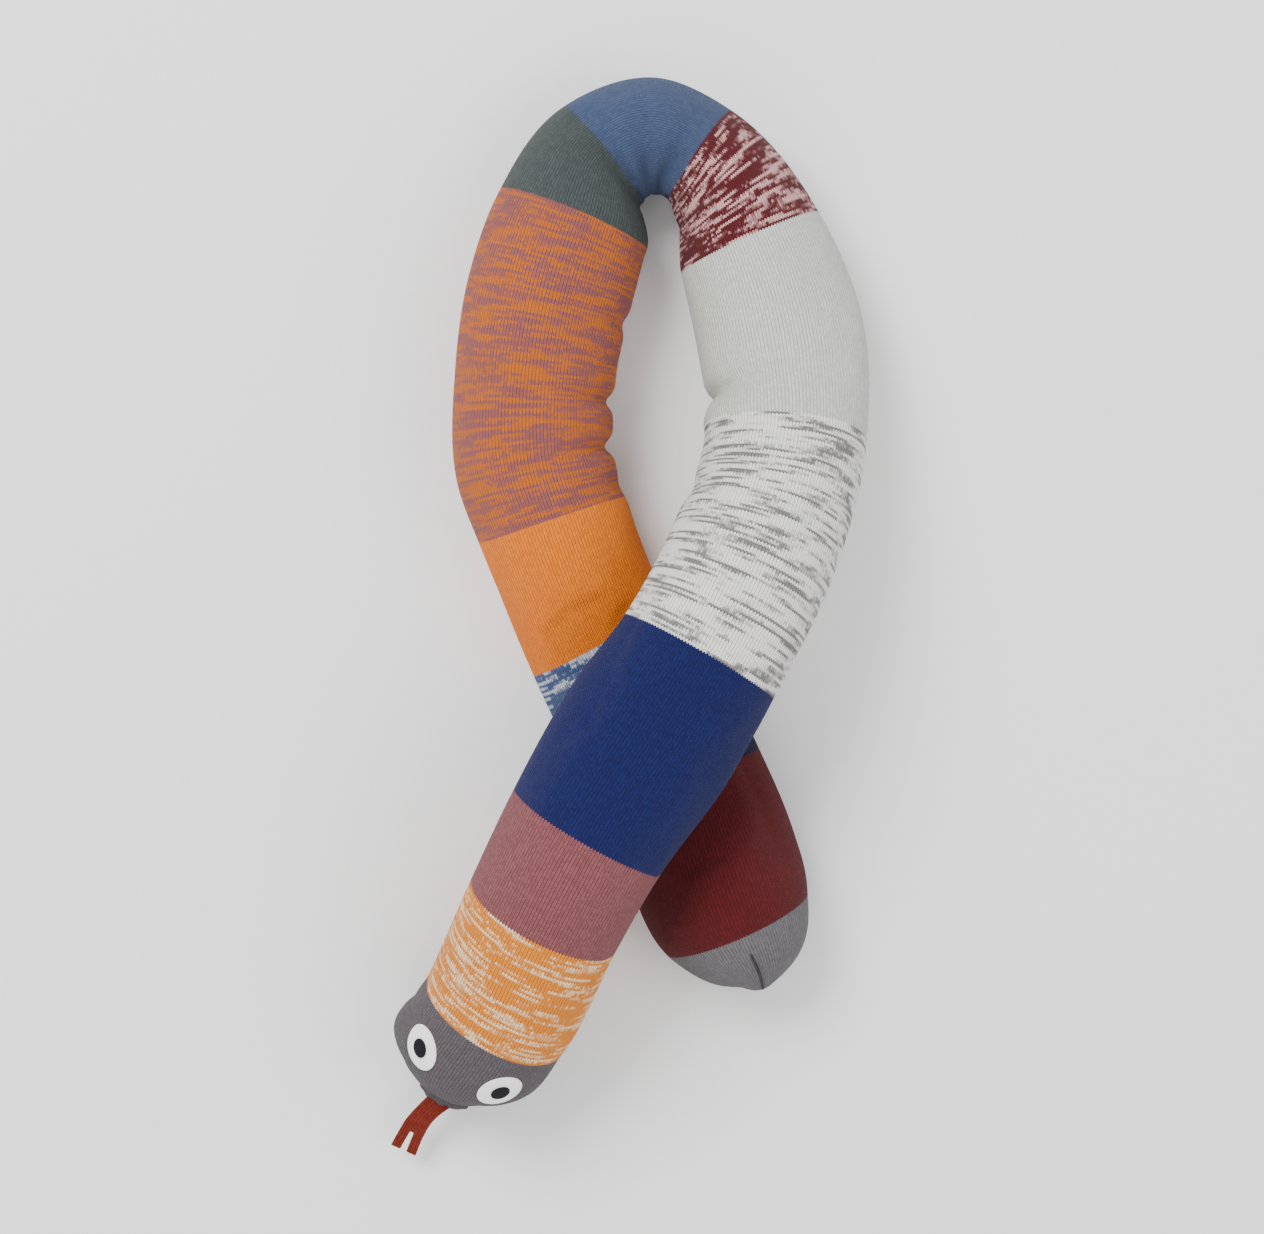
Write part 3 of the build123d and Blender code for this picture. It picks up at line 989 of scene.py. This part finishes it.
def eye_axes(side):
    """An eye's centre, its long and short directions, and the way it faces."""
    where = np.array([eye_place])
    level, up, way = (v[0] for v in axes_at(where))
    across, high = math.sin(math.radians(eye_round)) * side, math.cos(math.radians(eye_round))
    half_width, half_height = along(half_widths, where)[0], along(half_heights, where)[0]
    spot = along(places, where)[0] + level * half_width * across + up * half_height * high
    facing = Vector(level * across / half_width + up * high / half_height).normalized()
    to_nose = Vector(-way)
    to_nose.rotate(Quaternion(facing, math.radians(side * eye_toe_in)))
    to_nose = (to_nose - facing * to_nose.dot(facing)).normalized()
    return Vector(spot), to_nose, facing.cross(to_nose), facing


def felt_disc(name, side, share, under, material):
    """An oval of felt laid on another piece."""
    spot, long, short, facing = eye_axes(side)
    only()
    bpy.ops.mesh.primitive_circle_add(vertices=72, radius=1, fill_type="NGON", location=(0, 0, 0))
    disc = bpy.context.object
    disc.name = disc.data.name = name
    bpy.ops.object.mode_set(mode="EDIT")
    bpy.ops.mesh.select_all(action="SELECT")
    for _ in range(rings):
        bpy.ops.mesh.inset(thickness=ring_width)
    bpy.ops.mesh.poke()
    bpy.ops.object.mode_set(mode="OBJECT")
    points = points_of(disc)
    points[:, 0] *= share * eye_length / 2
    points[:, 1] *= share * eye_width / 2
    set_points(disc, points)
    disc.matrix_world = Matrix((long, short, facing)).transposed().to_4x4()
    disc.location = spot + facing * held_above
    bpy.context.view_layer.update()
    apply_modifier(
        disc, "SHRINKWRAP", "lay_on", target=under, wrap_method="PROJECT",
        use_project_z=True, use_positive_direction=False, use_negative_direction=True,
    )
    apply_modifier(disc, "SOLIDIFY", "felt_thickness", thickness=felt_thickness, offset=1)
    apply_modifier(
        disc, "BEVEL", "soft_edge", width=0.0005, segments=3, limit_method="ANGLE",
        angle_limit=math.radians(60),
    )
    bpy.ops.object.transform_apply(location=True, rotation=True, scale=True)
    bpy.ops.object.shade_smooth_by_angle(angle=smooth_under)
    disc.data.materials.append(material)
    return disc


eyes = {}
for side, word in ((-1, "left"), (1, "right")):
    white = felt_disc(word + "_eye_white_felt", side, 1.0, covers["grey_head"], white_felt)
    pupil = felt_disc(word + "_pupil_felt", side, pupil_share, white, dark_felt)
    eyes[word] = (white, pupil)
print("laid on", len(eyes), "eyes")

# %% [markdown]
# ## The tongue
# The tongue is a narrow strip of ribbed red knit, forked at its end. It starts as a grid.
# The faces between the prongs are deleted, and the strip is bent along its line: it turns a
# little to one side and hangs towards the floor.

# %% Make the tongue
tongue_length = 0.0600
tongue_width = 0.0205
fork_depth = 0.0190
fork_opening = 0.0012
tongue_waist = 0.10
curl_height = 0.0010
tongue_root_depth = 0.0050
tongue_columns, tongue_rows = 14, 36
line_points = 60

only()
bpy.ops.mesh.primitive_grid_add(
    x_subdivisions=tongue_columns, y_subdivisions=tongue_rows, size=2, location=(0, 0, 0)
)
tongue = bpy.context.object
tongue.name = tongue.data.name = "tongue_knit"
fork_rows = round(tongue_rows * (1 - fork_depth / tongue_length))
flat = points_of(tongue)
middles = np.array([flat[list(face.vertices)].mean(axis=0) for face in tongue.data.polygons])
beyond = middles[:, 1] > 2 * fork_rows / tongue_rows - 1
delete_faces(tongue, beyond & (np.abs(middles[:, 0]) < 2 / tongue_columns))

flat = points_of(tongue)
reach = (flat[:, 1] + 1) / 2
on_line = np.linspace(0, 1, line_points)
turned = np.radians(np.interp(on_line, (0, 0.25, 0.7, 1), (219, 224, 243, 246)))
droop = np.radians(np.interp(on_line, (0, 0.4, 1), (6, 17, 13)))
headings = [np.cos(turned) * np.cos(droop), np.sin(turned) * np.cos(droop), -np.sin(droop)]
steps = np.stack(headings, 1) * tongue_length / (line_points - 1)
line = np.vstack([[0, 0, 0], np.cumsum(steps, axis=0)[:-1]])
nose_end = np.array(along(places, [0])[0])
level, up, way = (v[0] for v in axes_at(np.array([0.0])))
tongue_root = nose_end - way * tongue_root_depth
spine = np.stack([np.interp(reach, on_line, line[:, i]) for i in range(3)], 1)
heading = np.interp(reach, on_line, turned)
sideways = np.stack([-np.sin(heading), np.cos(heading), np.zeros(len(heading))], 1)
spread = np.clip((reach - 1 + fork_depth / tongue_length) / (fork_depth / tongue_length), 0, 1)
across = flat[:, 0] * tongue_width / 2
across += np.sign(flat[:, 0]) * fork_opening * spread
across *= 1 - tongue_waist * np.sin(np.pi * np.clip(reach / 0.6, 0, 1))
shape = tongue_root + spine + sideways * across[:, None]
shape[:, 2] += curl_height * flat[:, 0] ** 2 * (1 - spread)
set_points(tongue, shape)

apply_modifier(tongue, "SOLIDIFY", "knit_thickness", thickness=0.0024, offset=0)
apply_modifier(tongue, "SUBSURF", "soft_edge", levels=2, render_levels=2)
bpy.ops.object.shade_smooth()
print("tongue with", len(tongue.data.polygons), "faces")

# %% [markdown]
# Its knit has ribs along it, which come from the grid's own map.

# %% Dye the tongue
red = bpy.data.materials.new("tongue_yarn")
graph, shader = with_nodes(red)
grid_map = graph.node("ShaderNodeUVMap", uv_map=tongue.data.uv_layers[0].name)
u, v, _ = graph.split(grid_map.outputs[0])
stitch = graph.node("ShaderNodeGroup", node_tree=stitches)
ribs, courses = graph.math("MULTIPLY", u, 7.0), graph.math("MULTIPLY", v, 26.0)
graph.feed(stitch.inputs["Stitch map"], graph.join(ribs, courses))
base = graph.mix(stitch.outputs["Shade"], dye(104, 30, 18), dye(116, 38, 26))
# Painted shade: the grooves between the ribs are darkened in the colour.
dark = graph.math("MULTIPLY_ADD", stitch.outputs["Groove"], -0.55, 1.08)
graph.feed(shader.inputs["Base Color"], graph.mix(1.0, base, dark, "MULTIPLY"))
finish_surface(graph, shader, stitch.outputs["Height"], 0.6, 0.0007, yarn_shine)
tongue.data.materials.append(red)
print("dyed the tongue")

# %% [markdown]
# ## The seam at the nose
# Where the tube is sewn shut, its edge stands forward as a small puckered lip that holds the
# tongue's root. It starts as a sphere, is pressed to a flat rounded bar, and is gathered into
# folds along its length.

# %% Make the lip of the nose
lip_half_length = 0.0225
lip_half_depth = 0.0085
lip_half_height = 0.0062
valley_depth = 0.0022
rib_width = 0.0024

only()
bpy.ops.mesh.primitive_uv_sphere_add(segments=96, ring_count=48, radius=1, location=(0, 0, 0))
lip = bpy.context.object
lip.name = lip.data.name = "nose_seam_knit"
ball = points_of(lip)
bar = np.sign(ball) * np.abs(ball) ** np.array([0.8, 1.0, 1.0])
folds = 1 + 0.10 * np.cos(bar[:, 0] * 11) + 0.06 * np.cos(bar[:, 0] * 19 + 1)
x = bar[:, 0] * lip_half_length
y = bar[:, 1] * lip_half_depth * folds * (1 - 0.35 * bar[:, 0] ** 2)
z = bar[:, 2] * lip_half_height * (0.9 + 0.12 * np.cos(bar[:, 0] * 13))
y -= valley_depth * np.exp(-((ball[:, 2] / 0.18) ** 2)) * np.clip(ball[:, 1], 0, 1)
lip_centre = nose_end - way * 0.0025
set_points(lip, lip_centre + np.outer(x, level) - np.outer(y, way) + np.outer(z, up))
turn_outwards(lip)
bpy.ops.object.shade_smooth()


def stitch_map_from(thing, first, second, centre):
    """A stitch map for a small piece, from its places along two directions."""
    layer = thing.data.uv_layers[0]
    layer.name = "stitches"
    vertices = np.zeros(len(thing.data.loops), np.int32)
    thing.data.loops.foreach_get("vertex_index", vertices)
    offset = points_of(thing)[vertices] - centre
    courses = np.stack([offset @ first / rib_width + 0.5, offset @ second / stitch_height], 1)
    layer.data.foreach_set("uv", courses.astype(np.float32).ravel())


stitch_map_from(lip, level, way, lip_centre)
lip_yarn = bpy.data.materials.new("nose_seam_yarn")
knit_material(lip_yarn, "grey_head")
lip.data.materials.append(lip_yarn)
print("made the lip of the nose")

# %% [markdown]
# ## The seam at the tail
# The end of the tail is sewn flat, which leaves a fine ridge over its top down to the point.
# It is a thin cord of yarn laid on the knit, with a thickening for every stitch of the seam.

# %% Make the seam of the tail
seam_rows, seam_columns = 90, 10
seam_station = 25.45
seam_points = 120
seam_thickness = 0.0011
seam_stitches = 22
seam_lift = 0.0004
look_above = 0.12

only()
bpy.ops.mesh.primitive_grid_add(
    x_subdivisions=seam_columns, y_subdivisions=seam_rows, size=2, location=(0, 0, 0)
)
ridge = bpy.context.object
ridge.name = ridge.data.name = "tail_seam_yarn_cord"
flat = points_of(ridge)
share = (flat[:, 1] + 1) / 2
around = (flat[:, 0] + 1) * np.pi
start_length = np.interp(seam_station, fine_where, fine_length)
tree = BVHTree.FromObject(covers["grey_tail"], bpy.context.evaluated_depsgraph_get())
seam_lengths = np.linspace(start_length, tube_length - 0.0015, seam_points)
seam_line = []
for length in seam_lengths:
    where = np.interp(length, fine_length, fine_where)
    centre, up_here = along(places, [where])[0], axes_at(np.array([where]))[1][0]
    hit = tree.ray_cast(Vector(centre + up_here * look_above), Vector(-up_here), look_above)[0]
    seam_line.append(hit if hit is not None else Vector(seam_line[-1]))
seam_line = np.array([tuple(p) for p in seam_line])
for _ in range(6):
    seam_line[1:-1] = (seam_line[:-2] + 2 * seam_line[1:-1] + seam_line[2:]) / 4
on_line = np.linspace(0, 1, seam_points)
spots = np.stack([np.interp(share, on_line, seam_line[:, i]) for i in range(3)], 1)
tail_station = np.array([float(number_of["tail_round"])])
side_way, _, tail_way = (v[0] for v in axes_at(tail_station))
top_way = np.cross(tail_way, side_way)
ends = np.sqrt(np.clip(1 - np.abs(2 * share - 1) ** 8, 0, 1))
thick = seam_thickness * ends * (1 + 0.18 * np.cos(share * 2 * np.pi * seam_stitches))
shape = spots + np.outer(np.cos(around) * thick * 1.1, side_way)
shape += np.outer(np.sin(around) * thick + seam_lift, top_way)
set_points(ridge, shape)
turn_outwards(ridge, merge_within=0.00001)
bpy.ops.object.shade_smooth()
stitch_map_from(ridge, side_way, tail_way, spots[0])
ridge_yarn = bpy.data.materials.new("tail_seam_yarn")
knit_material(ridge_yarn, "tail_thread")
ridge.data.materials.append(ridge_yarn)
print("made the seam of the tail")

# %% [markdown]
# ## Which body each piece moves with
# The imported part has seven bodies. A band in the middle of which a joint bends is listed with
# the two bodies on both sides of its joint, but it only has its place baked into its points and
# rides on no body. All others ride on one.

# %% Attach the pieces to their bodies
body_of_node = {
    node: body for body, nodes in frame["record"]["behaviour"]["bodies"].items() for node in nodes
}
bent_bands = {
    "amber_cream": ("head", "nape", 0.006),
    "mauve": ("nape", "neck", 0.006),
    "pale_grey": ("neck", "loop", 0.020),
    "amber_mauve": ("loop", "back", 0.024),
    "burgundy": ("back", "tail", 0.009),
}
for band, start, end in bands:
    piece = covers[band]
    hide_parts(band + "_band")
    if band in bent_bands:
        begin, finish = (Vector(places[number_of[name]]) for name in (start, end))
        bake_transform(piece)
    else:
        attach(piece, body_of_node[band + "_band"])
for name, filling in fillings.items():
    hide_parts(name)
    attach(filling, body_of_node[name])

small_pieces = [
    (tongue, "tongue", "red_felt"),
    (lip, "nose_seam", "grey_head_knit"),
    (ridge, "tail_seam", "grey_tail_knit"),
]
for word, (white, pupil) in eyes.items():
    small_pieces.append((white, word + "_eye_white", "white_felt"))
    small_pieces.append((pupil, word + "_pupil", "dark_felt"))
for piece, node, finish_slot in small_pieces:
    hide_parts(node)
    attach(piece, body_of_node[node])
print("joined", len(covers) + len(fillings) + len(small_pieces), "pieces to their bodies")

# %% [markdown]
# ## The studio
# The toy lies on a plain white floor and is seen from straight above. Large lights give soft
# shadows: the key comes from the upper left, and the others lift the shadows.

# %% Floor, lights and camera
only()
bpy.ops.mesh.primitive_plane_add(size=14, location=(0, 0, 0))
floor = bpy.context.object
floor.name = "floor"
paper = bpy.data.materials.new("white_paper")
_, shader = with_nodes(paper)
shader.inputs["Base Color"].default_value = (0.93, 0.93, 0.93, 1)
shader.inputs["Roughness"].default_value = 0.9
floor.data.materials.append(paper)


def soft_light(name, place, size, power):
    """A square light that points at the middle of the toy."""
    light = bpy.data.lights.new(name, "AREA")
    light.size = size
    light.energy = power
    lamp = bpy.data.objects.new(name, light)
    lamp.location = place
    lamp.rotation_euler = (-Vector(place)).to_track_quat("-Z", "Y").to_euler()
    bpy.context.scene.collection.objects.link(lamp)


soft_light("key", (-1.6, 1.8, 3.0), 1.8, 165)
soft_light("fill", (2.2, -0.6, 2.6), 2.2, 45)
soft_light("front", (-0.4, -2.6, 2.4), 2.0, 30)
world = bpy.data.worlds.new("studio")
world.use_nodes = True
sky = world.node_tree.nodes["Background"]
sky.inputs["Color"].default_value = (1, 1, 1, 1)
sky.inputs["Strength"].default_value = 0.82
bpy.context.scene.world = world

camera = bpy.data.cameras.new("camera")
camera.lens = 87.3
viewpoint = bpy.data.objects.new("camera", camera)
viewpoint.location = (0.0015, 0.001, 2.6)
bpy.context.scene.collection.objects.link(viewpoint)
bpy.context.scene.camera = viewpoint
print("floor, three lights and a camera")
